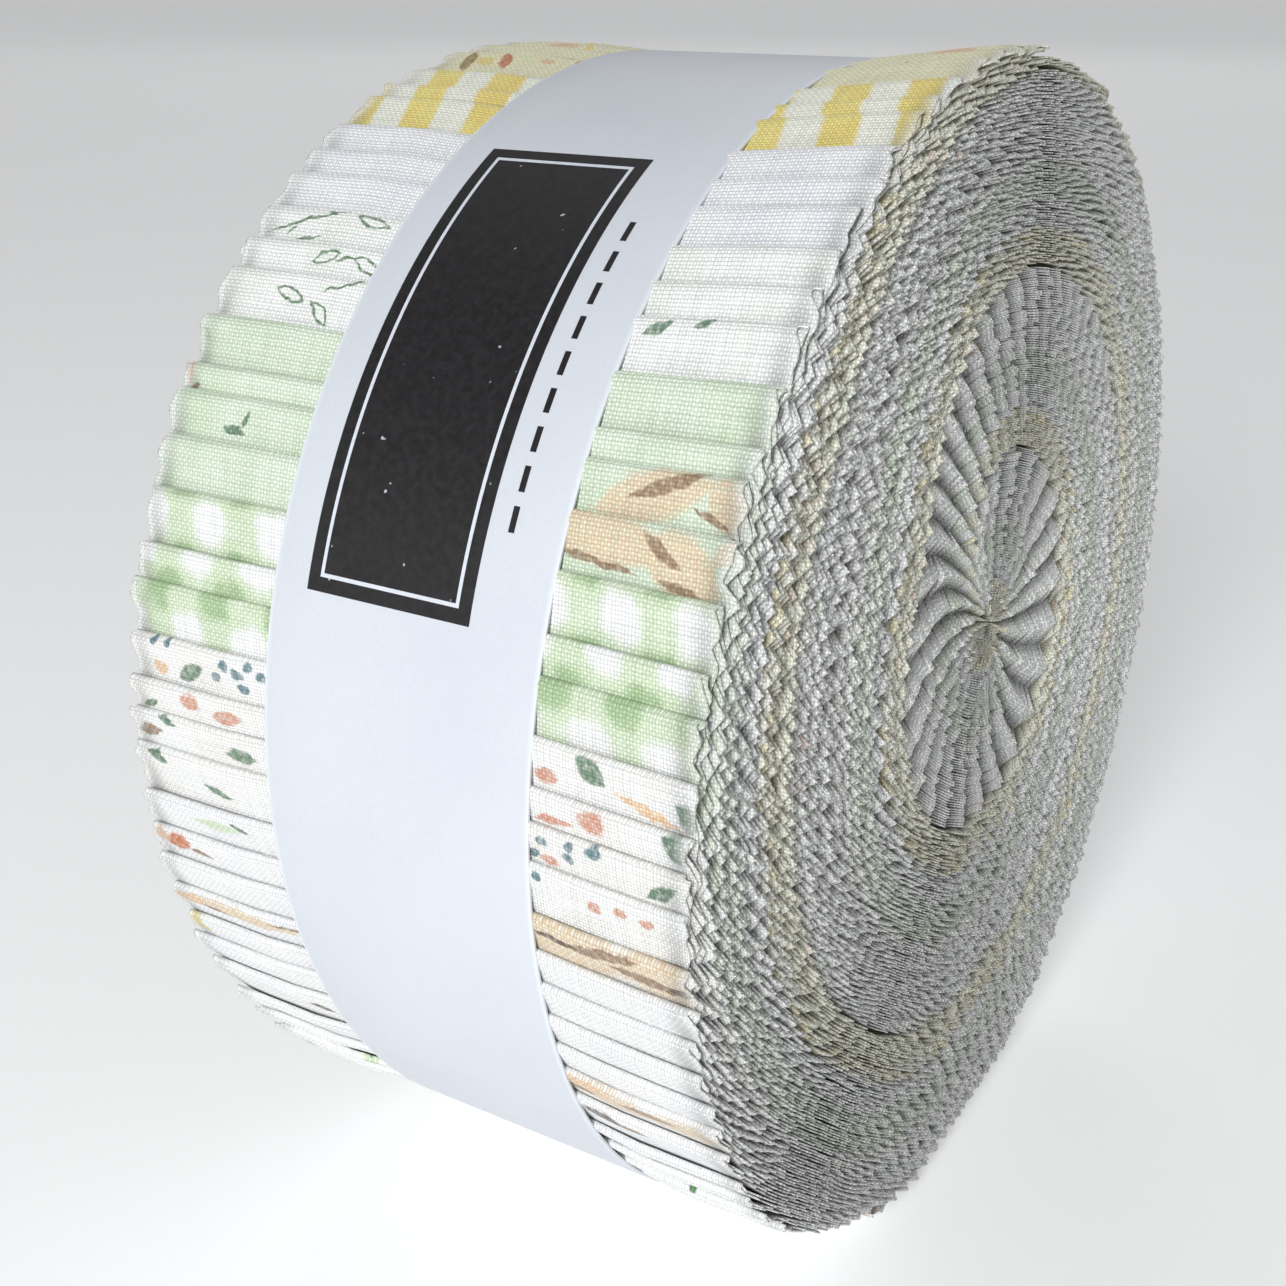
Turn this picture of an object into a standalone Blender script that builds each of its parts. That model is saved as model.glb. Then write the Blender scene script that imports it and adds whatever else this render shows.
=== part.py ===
"""A roll of forty pre-cut quilting strips held by a paper band.

The roll lies on its rim. Its axis is X, the band's face looks to -Y and Z is up, with the floor at z = 0.
Every strip is folded in half, all forty are laid in one stack, and the stack is wound round a point a little
above the middle. Directions round the roll are given as an angle: 0 is the front (-Y), 90 is the top.
"""

import bisect
from math import cos, degrees, radians, sin, sqrt

import bpy

# Driving dimensions, in metres and degrees
STRIP_WIDTH = 0.0635  # two and a half inches
STRIP_COUNT = 40
ROLL_RADIUS = 0.0617  # to the proud folds
FLAT_DEPTH = 0.0014  # how far the roll's own weight has flattened its underside
WIND_OFF_Y, WIND_OFF_Z = 0.0018, 0.0042  # winding point, back from and above the middle of the roll
CORE_RADIUS = 0.0008  # the tight turn at the winding point
ENDED_LANE = 0.0001  # room kept at the next corner for a strip that ends before it
GAP_SHARE = 0.2  # share of each strip's lane left open between neighbours
SEGMENTS = 16  # straight lengths in one turn
FIRST_CORNER = -99.7  # the corner that puts one straight length flat on the floor
START_ANGLE = FIRST_CORNER + 180.0  # the cut ends at the core all lie in this direction
FULL_TURNS = 3  # turns from the cut ends to the turn that holds the folds
RISE_FROM = 0.86  # share of the first turn after which the stack climbs over its own cut ends

# Folds, from the innermost strip to the outermost, as steps in degrees down the front of the roll
LAST_FOLD = 136.0
FOLD_STEPS = [22, 22, 4, 4, 5, 7, 4, 3, 5.5, 4, 3.5, 4.5, 3.7, 3.3, 5, 4.7, 2.4, 4.1, 4.6, 4.8,
              3.1, 4.5, 3.9, 2.8, 3.2, 4.5, 3.4, 3.2, 3.4, 3.3, 3.1, 3.6, 4.9, 4, 4, 4, 22, 22, 20]

BAND_WIDTH = 0.029
BAND_THICK = 0.0003
BAND_CLEAR = 0.0001
BAND_START = FIRST_CORNER + 247.5  # the glued lap is at the back
LAP_GAP = 0.00005

MID_Z = ROLL_RADIUS - FLAT_DEPTH + BAND_CLEAR + BAND_THICK
WIND_Z = MID_Z + WIND_OFF_Z
STRIP_FLOOR = BAND_CLEAR + BAND_THICK

# Which cloth each strip is cut from: name, first strip, last strip, colour
CLOTHS = [
    ("cream_print", 1, 6, (0.80, 0.76, 0.55)),
    ("yellow_check", 7, 9, (0.85, 0.72, 0.25)),
    ("white_cotton", 10, 12, (0.80, 0.80, 0.80)),
    ("white_sprig", 13, 15, (0.80, 0.82, 0.78)),
    ("pale_green", 16, 19, (0.66, 0.78, 0.58)),
    ("green_check", 20, 22, (0.58, 0.72, 0.48)),
    ("white_floral", 23, 26, (0.80, 0.78, 0.75)),
    ("tan_print", 27, 27, (0.68, 0.52, 0.34)),
    ("white_plain", 28, 31, (0.78, 0.80, 0.80)),
    ("tan_stripe", 32, 33, (0.66, 0.52, 0.38)),
    ("white_backing", 34, 40, (0.78, 0.79, 0.78)),
]


def clear_scene():
    for thing in list(bpy.data.objects):
        bpy.data.objects.remove(thing, do_unlink=True)


def wound(angle):
    """The wound angle of a fold that lies at this direction in the last turn, in degrees from the cut ends."""
    return angle - START_ANGLE + 360.0 * FULL_TURNS


def fold_angles():
    """Wound angle of each strip's fold; strip 1 reaches furthest."""
    ends = [wound(LAST_FOLD)]
    for step in FOLD_STEPS:
        ends.append(ends[-1] - step)
    return ends


FOLDS = fold_angles()


def strips_left(turned):
    """How many strips are still in the stack at this wound angle, as a smooth number."""
    rising = [FOLDS[0] + 22.0] + FOLDS
    left = list(range(0, STRIP_COUNT + 1))
    if turned >= rising[0]:
        return 0.0
    if turned <= rising[-1]:
        return float(STRIP_COUNT)
    at = bisect.bisect_left([-r for r in rising], -turned)
    share = (rising[at - 1] - turned) / (rising[at - 1] - rising[at])
    return left[at - 1] + share * (left[at] - left[at - 1])


def outline(angle):
    """Distance from the winding point to the roll's outside, in this direction."""
    a = radians(angle)
    along = -WIND_OFF_Y * cos(a) + WIND_OFF_Z * sin(a)
    reach = -along + sqrt(along**2 - WIND_OFF_Y**2 - WIND_OFF_Z**2 + ROLL_RADIUS**2)
    if sin(a) < 0:
        reach = min(reach, (WIND_Z - STRIP_FLOOR) / -sin(a))
    return reach


def climb(share):
    """How far the first turn has climbed over the cut ends, from 0 to 1."""
    t = min(max((share - RISE_FROM) / (1 - RISE_FROM), 0.0), 1.0)
    return t * t * (3 - 2 * t)


def lane_width(turned):
    """Radial room for one folded strip, where the stack has been wound this far."""
    first = turned % 360.0
    lanes = STRIP_COUNT * climb(first / 360.0)
    at = first
    while at < FOLDS[0] + 22.0:
        lanes += strips_left(at)
        at += 360.0
    return (outline(START_ANGLE + first) - CORE_RADIUS) / lanes


def radius(turned, lane):
    """Distance from the winding point; lane 0 is the stack's inner face and lane 40 its outer face."""
    whole, first = divmod(turned, 360.0)
    return CORE_RADIUS + lane_width(turned) * (STRIP_COUNT * (whole + climb(first / 360.0)) + lane)


def on_chord(turned, lane):
    """Radius on the straight length between the two corners either side of this angle."""
    step = 360.0 / SEGMENTS
    low = (turned // step) * step
    past = lane - strips_left(low + step)
    before, after = radius(low, lane), radius(low + step, lane)
    if past > 0:
        after = min(after, outline(START_ANGLE + low + step) + ENDED_LANE * past)
    return sin(radians(step)) / (
        sin(radians(low + step - turned)) / before + sin(radians(turned - low)) / after
    )


def point(x, turned, r):
    a = radians(START_ANGLE + turned)
    return (x, WIND_OFF_Y - r * cos(a), WIND_Z + r * sin(a))


def ribbon(name, sections, half_width, centre_x=0.0):
    """A closed band of cloth or paper through (wound angle, inner radius, outer radius) sections."""
    points, faces = [], []
    left, right = centre_x - half_width, centre_x + half_width
    for turned, inner, outer in sections:
        points += [point(left, turned, inner), point(right, turned, inner)]
        points += [point(right, turned, outer), point(left, turned, outer)]
    for i in range(len(sections) - 1):
        a, b = 4 * i, 4 * i + 4
        for j in range(4):
            k = (j + 1) % 4
            faces.append((a + j, b + j, b + k, a + k))
    end = 4 * (len(sections) - 1)
    faces += [(0, 1, 2, 3), (end + 3, end + 2, end + 1, end)]
    mesh = bpy.data.meshes.new(name)
    mesh.from_pydata(points, [], faces)
    mesh.update()
    thing = bpy.data.objects.new(name, mesh)
    bpy.context.scene.collection.objects.link(thing)
    return thing


def material(name, colour, rough):
    made = bpy.data.materials.new(name)
    made.use_nodes = True
    shader = made.node_tree.nodes["Principled BSDF"]
    shader.inputs["Base Color"].default_value = (*colour, 1.0)
    shader.inputs["Roughness"].default_value = rough
    shader.inputs["Metallic"].default_value = 0.0
    return made


def strip(number, cloth):
    """One folded strip, from its cut ends at the core to its fold on the outside."""
    low, high = number - 1 + GAP_SHARE / 2, number - GAP_SHARE / 2
    end = FOLDS[number - 1]
    step = 360.0 / SEGMENTS
    turns = [i * step for i in range(int(end // step) + 1)]
    nose = degrees(0.0004 / ROLL_RADIUS)
    if end - nose - turns[-1] < 0.3:
        turns.pop()
    sections = [(t, radius(t, low), radius(t, high)) for t in turns]
    inner, outer = on_chord(end - nose, low), on_chord(end - nose, high)
    third = (outer - inner) / 3
    sections += [(end - nose, inner, outer), (end, inner + third, outer - third)]
    made = ribbon(f"strip_{number:02d}", sections, STRIP_WIDTH / 2)
    made.data.materials.append(cloth)


def paper_band(paper):
    """The paper band: one turn and a glued lap of one straight length."""
    step = 360.0 / SEGMENTS
    sections = []
    for i in range(SEGMENTS + 2):
        angle = BAND_START + i * step
        lift = BAND_CLEAR + (BAND_THICK + LAP_GAP if i >= SEGMENTS else 0.0)
        reach = outline(angle) + lift
        if sin(radians(angle)) < -0.9:
            reach = (WIND_Z - BAND_THICK) / -sin(radians(angle))
        thick = BAND_THICK if sin(radians(angle)) > -0.9 else BAND_THICK / -sin(radians(angle))
        sections.append((angle - START_ANGLE, reach, reach + thick))
    made = ribbon("paper_band", sections, BAND_WIDTH / 2, 0.0003)
    made.data.materials.append(paper)


def build():
    clear_scene()
    for name, first, last, colour in CLOTHS:
        cloth = material(name, colour, 0.85)
        for number in range(first, last + 1):
            strip(number, cloth)
    paper_band(material("paper", (0.80, 0.82, 0.86), 0.5))


build()
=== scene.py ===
"""A roll of forty folded quilting strips with a paper band round it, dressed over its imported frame."""

from math import cos, pi, radians, sin, tau

import bmesh
import bpy
import numpy as np
from mathutils import Matrix, Vector


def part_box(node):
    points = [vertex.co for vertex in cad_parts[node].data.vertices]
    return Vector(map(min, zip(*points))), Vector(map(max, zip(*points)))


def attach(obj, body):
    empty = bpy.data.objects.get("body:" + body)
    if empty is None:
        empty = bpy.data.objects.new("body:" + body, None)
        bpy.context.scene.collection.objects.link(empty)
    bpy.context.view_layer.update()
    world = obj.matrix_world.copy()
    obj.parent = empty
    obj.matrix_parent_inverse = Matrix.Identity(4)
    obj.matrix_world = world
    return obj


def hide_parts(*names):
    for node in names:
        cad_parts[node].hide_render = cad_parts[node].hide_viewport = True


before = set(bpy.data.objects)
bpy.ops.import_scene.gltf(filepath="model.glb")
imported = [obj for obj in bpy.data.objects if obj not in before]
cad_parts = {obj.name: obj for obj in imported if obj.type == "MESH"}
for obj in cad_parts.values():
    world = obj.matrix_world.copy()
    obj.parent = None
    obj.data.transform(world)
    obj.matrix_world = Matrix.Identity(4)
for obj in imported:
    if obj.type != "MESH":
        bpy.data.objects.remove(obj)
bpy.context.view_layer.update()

# ---------------------------------------------------------------------------------------------
# The wound stack
# Forty strips of quilting cotton, each folded in half, are laid in one stack with their cut ends
# together and wound round those ends, so every strip finishes in a soft fold on the outside.
# ---------------------------------------------------------------------------------------------

STRIPS = 40
CLOTH_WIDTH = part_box("strip_20")[1][0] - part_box("strip_20")[0][0]

ROLL_RADIUS = 0.0617
FLATTENED = 0.0014  # the roll stands on a slightly flattened underside
BAND_ROOM = 0.0004
MIDDLE_Z = ROLL_RADIUS - FLATTENED + BAND_ROOM
WIND_BACK, WIND_UP = 0.0018, 0.0042  # the winding starts behind and above the middle of the roll
WIND_POINT = np.array([0.0, WIND_BACK, MIDDLE_Z + WIND_UP])
CORE_RADIUS = 0.0008
CUT_ENDS_AT = 80.3  # direction of the cut ends, where 0 faces the front and 90 the top
CLIMB_FROM = 0.86  # share of the first turn after which it climbs over the cut ends
TURN_GAP = 0.6  # lanes left empty between one turn of the stack and the next

# Directions of the folds, from the strip that reaches furthest round, and the steps between them
FURTHEST_FOLD = 136.0
FOLD_STEPS = [22, 22, 4, 4, 5, 7, 4, 3, 5.5, 4, 3.5, 4.5, 3.7, 3.3, 5, 4.7, 2.4, 4.1, 4.6, 4.8,
              3.1, 4.5, 3.9, 2.8, 3.2, 4.5, 3.4, 3.2, 3.4, 3.3, 3.1, 3.6, 4.9, 4, 4, 4, 22, 22, 20]
folds = FURTHEST_FOLD - CUT_ENDS_AT + 1080.0 - np.concatenate([[0.0], np.cumsum(FOLD_STEPS)])


def strips_left(turned):
    """How many strips are still in the stack at this wound angle."""
    return np.interp(-turned, -np.concatenate([[folds[0] + 22.0], folds]), np.arange(STRIPS + 1.0))


def outline(angle):
    """Distance from the winding point to the outside of the roll."""
    a = np.radians(angle)
    along = -WIND_BACK * np.cos(a) + WIND_UP * np.sin(a)
    reach = -along + np.sqrt(along**2 - WIND_BACK**2 - WIND_UP**2 + ROLL_RADIUS**2)
    down = np.minimum(np.sin(a), -1e-6)
    return np.minimum(reach, (WIND_POINT[2] - BAND_ROOM) / -down)


def climb(first):
    """How far the first turn has climbed over the cut ends, from 0 to 1."""
    t = np.clip((first / 360.0 - CLIMB_FROM) / (1 - CLIMB_FROM), 0, 1)
    return t * t * (3 - 2 * t)


def lane_width(turned):
    """Room that one folded strip takes at this wound angle, so that all the turns fill the outline."""
    first = np.mod(turned, 360.0)
    lanes = STRIPS * climb(first)
    for turn in range(4):
        lanes = lanes + strips_left(first + 360.0 * turn)
    return (outline(CUT_ENDS_AT + first) - CORE_RADIUS) / lanes


def radius(turned, lane):
    """Distance from the winding point: lane 0 is the inner face of the stack, lane 40 its outer face."""
    first = np.mod(turned, 360.0)
    whole = np.round((turned - first) / 360.0)
    snug = TURN_GAP / 2 + lane * (STRIPS - TURN_GAP) / STRIPS
    return CORE_RADIUS + lane_width(turned) * (STRIPS * (whole + climb(first)) + snug)


def outward(turned):
    a = np.radians(CUT_ENDS_AT + turned)
    return np.stack([np.zeros_like(a), -np.cos(a), np.sin(a)], -1)


TOOTH_PITCH = 0.003175  # the pinked edges have eight teeth to the inch
TOOTH_DEPTH = 0.0015
PLY_FILL = 0.92  # share of its room that a layer's cloth takes up
NEAR_FOLD = np.array([4.5, 3.4, 2.5, 1.8, 1.2, 0.7, 0.3, 0.0]) * 0.001
NOSE_STEPS = np.radians(np.linspace(-90, 90, 9)[1:-1])


def run_along(turned, lane):
    """Length of a lane from the cut ends to each wound angle."""
    place = outward(turned) * radius(turned, lane)[:, None]
    return np.concatenate([[0.0], np.cumsum(np.linalg.norm(np.diff(place, axis=0), axis=1))])


# In the first turn the layers grip each other and their teeth stay in line; later they shear past each other
GRIPPED_TO, FREE_FROM = 400.0, 460.0
GRIPPED_SLIP, FREE_SLIP = 0.06, 1.5
SWAY, SWAY_EVERY = 0.24, 9.0  # how far a free layer's teeth wander, in teeth, and over how many degrees


ENDS_REACH = 0.82  # how far the cut ends reach down beside the turn that climbs over them


def cut_end(lane):
    """Wound angle of a layer's cut end, a little before the round winding starts."""
    first = np.linspace(360.0 * CLIMB_FROM, 360.0, 400)
    ragged = 1 + 0.1 * np.sin(17.3 * lane**2)
    return (np.interp(1 - lane / STRIPS, climb(first), first) - 360.0) * ENDS_REACH * ragged


def ply(strip, lane):
    """One layer of a strip: wound angle and radius at each tooth tip and root, then closely to the fold."""
    fine = np.concatenate([np.arange(cut_end(lane), -0.2, 0.4), np.arange(0.0, folds[strip - 1], 0.4),
                           folds[strip - 1:strip]])
    run, middle = run_along(fine, lane), run_along(fine, STRIPS / 2)
    middle_steps = np.where(fine[1:] > 0, np.diff(middle), np.diff(run))
    loose = np.clip((fine - GRIPPED_TO) / (FREE_FROM - GRIPPED_TO), 0, 1)
    slip = loose[1:]
    slip = GRIPPED_SLIP + (FREE_SLIP - GRIPPED_SLIP) * slip * slip * (3 - 2 * slip)
    teeth = np.cumsum(np.append(0.0, middle_steps + slip * (np.diff(run) - middle_steps)))
    teeth = teeth - np.interp(0.0, fine, teeth)
    sway = np.sin(fine / SWAY_EVERY + 12.9 * lane**2) + np.sin(fine / (0.43 * SWAY_EVERY) + 7.7 * lane**2) / 2
    teeth = teeth + SWAY * TOOTH_PITCH * loose * sway
    half_pitch = TOOTH_PITCH / 2
    stops = np.arange(np.ceil(teeth[0] / half_pitch + 0.2), (teeth[-1] - NEAR_FOLD[0] - 0.0004) / half_pitch)
    stops = np.concatenate([teeth[:1], stops * half_pitch, teeth[-1] - NEAR_FOLD])
    turned = np.interp(stops, teeth, fine)
    return turned, radius(turned, lane), stops


def strip_line(strip):
    """The middle line of one strip, from its inner cut end round the fold and back, with its values."""
    inner_w, inner_r, inner_run = ply(strip, strip - 0.75)
    outer_w, outer_r, outer_run = ply(strip, strip - 0.25)
    half = (outer_r[-1] - inner_r[-1]) / 2
    mid = (outer_r[-1] + inner_r[-1]) / 2
    nose_w = inner_w[-1] + np.degrees(half * np.cos(NOSE_STEPS) / mid)
    nose_r = mid + half * np.sin(NOSE_STEPS)
    turned = np.concatenate([inner_w, nose_w, outer_w[::-1]])
    r = np.concatenate([inner_r, nose_r, outer_r[::-1]])
    run = np.concatenate([inner_run, np.full(len(nose_w), inner_run[-1]), outer_run[::-1]])
    line = WIND_POINT + outward(turned) * r[:, None]
    along = np.concatenate([[0.0], np.cumsum(np.linalg.norm(np.diff(line, axis=0), axis=1))])
    ahead = np.gradient(line, along, axis=0)
    ahead /= np.linalg.norm(ahead, axis=1)[:, None]
    from_fold = along - along[len(inner_w) + len(nose_w) // 2]
    slope = np.abs((ahead * outward(turned)).sum(1))
    nose = slice(len(inner_w) - 1, len(inner_w) + len(nose_w) + 1)
    slope[nose] = 0.0
    return {
        "line": line,
        "back": np.stack([np.zeros(len(r)), -ahead[:, 2], ahead[:, 1]], -1),
        "outward": outward(turned),
        "run": run,
        "from_fold": from_fold,
        "ply": 0.5 * lane_width(turned) * PLY_FILL * np.sqrt(1 - np.minimum(slope, 0.95) ** 2),
        "depth": np.maximum(outline(CUT_ENDS_AT + turned) - r, 0.0),
        "angle": np.mod(CUT_ENDS_AT + turned + 180.0, 360.0) - 180.0,
        "radius": r,
    }


ACROSS_ROWS = 13
EDGE_CLOSENESS = 2.4
steps = np.linspace(-1, 1, ACROSS_ROWS)
across_rows = np.sign(steps) * (1 - (1 - np.abs(steps)) ** EDGE_CLOSENESS)
around = np.concatenate([across_rows, across_rows[::-1]])
sides = np.repeat([1.0, -1.0], ACROSS_ROWS)


def add_attribute(mesh, name, values):
    values = np.asarray(values, np.float32)
    kind, key = ("FLOAT_VECTOR", "vector") if values.ndim == 2 else ("FLOAT", "value")
    mesh.attributes.new(name, kind, "POINT").data.foreach_set(key, values.ravel())


def sleeve(name, strip):
    """A closed sleeve still drawn together on the strip's middle line. The tree below spreads it out."""
    line = strip_line(strip)
    columns, ring = len(line["run"]), len(around)
    corner = np.arange(columns * ring).reshape(columns, ring)
    first, last = corner[:-1], corner[1:]
    turn = np.roll(np.arange(ring), -1)
    quads = np.stack([first, first[:, turn], last[:, turn], last], -1).reshape(-1, 4)
    top = np.arange(ACROSS_ROWS - 1)
    cap = np.stack([top, ring - 1 - top, ring - 2 - top, top + 1], -1)
    quads = np.concatenate([quads, cap, (cap + corner[-1, 0])[:, ::-1]])
    mesh = bpy.data.meshes.new(name)
    mesh.vertices.add(columns * ring)
    mesh.vertices.foreach_set("co", np.repeat(line["line"], ring, axis=0).ravel())
    mesh.loops.add(quads.size)
    mesh.loops.foreach_set("vertex_index", quads.ravel())
    mesh.polygons.add(len(quads))
    mesh.polygons.foreach_set("loop_start", np.arange(0, quads.size, 4))
    mesh.update(calc_edges=True)
    for key in ("back", "outward", "run", "from_fold", "ply", "depth", "angle", "radius"):
        add_attribute(mesh, key, np.repeat(line[key], ring, axis=0))
    add_attribute(mesh, "across", np.tile(around, columns))
    add_attribute(mesh, "side", np.tile(sides, columns))
    mesh.shade_smooth()
    piece = bpy.data.objects.new(name, mesh)
    bpy.context.scene.collection.objects.link(piece)
    return piece


class Tree:
    """Short words for wiring a node tree: a socket, a number or a vector goes in, a socket comes out."""

    def __init__(self, tree):
        self.tree = tree

    def node(self, kind, inputs=(), **settings):
        made = self.tree.nodes.new(kind)
        for key, value in settings.items():
            setattr(made, key, value)
        for key, value in dict(inputs).items():
            self.put(made.inputs[key], value)
        return made

    def put(self, socket, value):
        if isinstance(value, bpy.types.NodeSocket):
            self.tree.links.new(value, socket)
        elif value is not None:
            socket.default_value = value

    def math(self, operation, a, b=None, c=None):
        made = self.node("ShaderNodeMath", operation=operation)
        for socket, value in zip(made.inputs, (a, b, c)):
            self.put(socket, value)
        return made.outputs[0]

    def times(self, a, b):
        return self.math("MULTIPLY", a, b)

    def plus(self, a, b):
        return self.math("ADD", a, b)

    def minus(self, a, b):
        return self.math("SUBTRACT", a, b)

    def noise(self, where, scale, detail, roughness=0.5, output=0):
        inputs = {"Vector": where, "Scale": scale, "Detail": detail, "Roughness": roughness}
        return self.node("ShaderNodeTexNoise", inputs).outputs[output]

    def split(self, vector):
        return self.node("ShaderNodeSeparateXYZ", {"Vector": vector}).outputs

    def join(self, x=0.0, y=0.0, z=0.0):
        return self.node("ShaderNodeCombineXYZ", {"X": x, "Y": y, "Z": z}).outputs[0]

    def vector(self, operation, a, b=None, scale=None):
        made = self.node("ShaderNodeVectorMath", operation=operation)
        self.put(made.inputs[0], a)
        self.put(made.inputs[1], b)
        self.put(made.inputs[3], scale)
        return made.outputs[1 if operation in ("LENGTH", "DISTANCE", "DOT_PRODUCT") else 0]

    def ramp(self, value, low, high, start=0.0, end=1.0):
        """Smooth change from start to end as value goes from low to high."""
        made = self.node("ShaderNodeMapRange", interpolation_type="SMOOTHSTEP")
        for socket, given in zip(made.inputs, (value, low, high, start, end)):
            self.put(socket, given)
        return made.outputs[0]

    def carried(self, name, kind="FLOAT"):
        made = self.node("GeometryNodeInputNamedAttribute", {"Name": name}, data_type=kind)
        return made.outputs["Attribute"]


def named_inputs(tree, sockets):
    for name, kind, value in sockets:
        socket = tree.interface.new_socket(name, in_out="INPUT", socket_type=kind)
        if value is not None:
            socket.default_value = value


SKIN = 0.0016  # depth to which the outermost edges are worn, drawn back and frayed
DRIFT, FRAY = 0.0011, 0.0016  # how far a strip wanders sideways, and how ragged its cut edges are
DRAWN_BACK = 0.0011  # how far the outermost edges stand back
PUSHED, PUSHED_WIDTH = 0.0018, 0.022  # how far the core is pushed towards the far end, and its radius
FLARE, FLARE_TOP = 0.0014, 62.0  # how far the near edge stands out, and the direction where it does most
LOOSENED, RIPPLE = 0.0004, 0.0004  # the free cloth's slackness, and its small waves
PUFF, PUFF_LENGTH, FOLD_LENGTH = 0.0010, 0.0020, 0.0006  # a swelling below each fold: height, reach, start
OPEN_DEPTH = 0.0007  # depth to which light gets between the outermost edges
CLEAR_OF_FLOOR = 0.0001


def pinked_strip_tree():
    """Spreads a sleeve into a folded strip with pinked edges, small waves and a flare outside the band."""
    tree = bpy.data.node_groups.new("pinked_strip", "GeometryNodeTree")
    named_inputs(tree, [
        ("Geometry", "NodeSocketGeometry", None),
        ("Half Width", "NodeSocketFloat", CLOTH_WIDTH / 2),
        ("Tooth Pitch", "NodeSocketFloat", TOOTH_PITCH),
        ("Tooth Depth", "NodeSocketFloat", TOOTH_DEPTH),
        ("Strip Number", "NodeSocketFloat", 1.0),
        ("Side Shift", "NodeSocketFloat", 0.0),
        ("Band Middle", "NodeSocketFloat", 0.0003),
        ("Band Half Width", "NodeSocketFloat", 0.0145),
        ("Cloth", "NodeSocketMaterial", None),
    ])
    tree.interface.new_socket("Geometry", in_out="OUTPUT", socket_type="NodeSocketGeometry")
    t = Tree(tree)
    given = t.node("NodeGroupInput").outputs
    across, side = t.carried("across"), t.carried("side")
    run, ply_thick, depth = t.carried("run"), t.carried("ply"), t.carried("depth")
    turn_angle, from_centre = t.carried("angle"), t.carried("radius")
    reach = t.math("ABSOLUTE", across)
    hand = t.math("SIGN", across)

    # The cut: a zigzag that dies away within a few millimetres of the edge
    tooth = t.math("DIVIDE", t.math("PINGPONG", run, t.math("DIVIDE", given["Tooth Pitch"], 2.0)),
                   t.math("DIVIDE", given["Tooth Pitch"], 2.0))
    near_edge = t.math("POWER", reach, 11.0)
    skin = t.math("EXPONENT", t.times(depth, -1.0 / SKIN))
    worn = t.minus(1.0, t.times(skin, 0.75))
    nick = t.times(t.times(t.times(tooth, given["Tooth Depth"]), near_edge), worn)
    cut_x = t.times(hand, t.minus(t.times(reach, given["Half Width"]), nick))

    # Uneven winding: each strip drifts sideways, the outermost edges draw back and the core is pushed over
    where = t.join(t.times(run, 60.0), given["Strip Number"])
    wander = t.noise(where, 1.0, 2.0)
    rough_where = t.join(t.times(run, 420.0), t.times(given["Strip Number"], 3.7), t.times(across, 9.0))
    rough = t.noise(rough_where, 1.0, 1.0)
    drift = t.times(t.minus(wander, 0.5), DRIFT)
    fray = t.times(t.times(t.minus(rough, 0.5), near_edge), FRAY)
    fray = t.times(fray, t.plus(1.0, t.times(skin, 0.7)))
    drawn = t.times(t.times(skin, near_edge), DRAWN_BACK)
    core = t.math("EXPONENT", t.times(t.times(from_centre, from_centre), -1.0 / PUSHED_WIDTH**2))
    pushed = t.times(core, -PUSHED)
    x = t.plus(cut_x, t.plus(drift, t.plus(given["Side Shift"], pushed)))
    x = t.plus(x, t.times(hand, t.minus(fray, drawn)))

    # Outside the band the cloth is free: it stands out, most of all at the top of the near edge
    off_band = t.minus(t.math("ABSOLUTE", t.minus(x, given["Band Middle"])), given["Band Half Width"])
    free = t.ramp(off_band, 0.0003, 0.0035)
    to_rim = t.ramp(off_band, 0.0, 0.0172)
    upper = t.math("COSINE", t.times(t.minus(turn_angle, FLARE_TOP), pi / 180))
    near_side = t.math("GREATER_THAN", x, 0.0)
    flare = t.times(t.times(to_rim, near_side), t.plus(t.times(upper, FLARE), 0.0001))
    share = t.math("POWER", t.math("DIVIDE", from_centre, ROLL_RADIUS), 1.5)
    flare = t.times(flare, share)
    loosened = t.times(t.times(free, share), LOOSENED)
    below_fold = t.math("ABSOLUTE", t.carried("from_fold"))
    rounded = t.minus(1.0, t.math("EXPONENT", t.times(below_fold, -1.0 / FOLD_LENGTH)))
    puff = t.times(t.math("EXPONENT", t.times(below_fold, -1.0 / PUFF_LENGTH)), PUFF)
    puff = t.times(t.times(puff, rounded), free)
    ripple_where = t.join(t.times(run, 90.0), t.times(given["Strip Number"], 5.3), t.times(x, 95.0))
    ripple = t.noise(ripple_where, 1.0, 1.0)
    ripple = t.times(t.times(t.minus(ripple, 0.5), free), RIPPLE)
    out = t.plus(t.plus(flare, loosened), t.plus(puff, ripple))
    out = t.math("MAXIMUM", out, -0.0008)

    # The ply has body in the middle and thins towards its cut edge
    thin = t.ramp(reach, 0.955, 1.0, 1.0, 0.55)
    half_ply = t.times(t.times(ply_thick, 0.5), t.times(side, thin))
    offset = t.vector("ADD", t.vector("SCALE", t.carried("back", "FLOAT_VECTOR"), scale=half_ply),
                      t.vector("SCALE", t.carried("outward", "FLOAT_VECTOR"), scale=out))
    offset = t.vector("ADD", offset, t.join(x))
    spread = t.node("GeometryNodeSetPosition", {"Geometry": given["Geometry"], "Offset": offset}).outputs[0]
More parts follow.
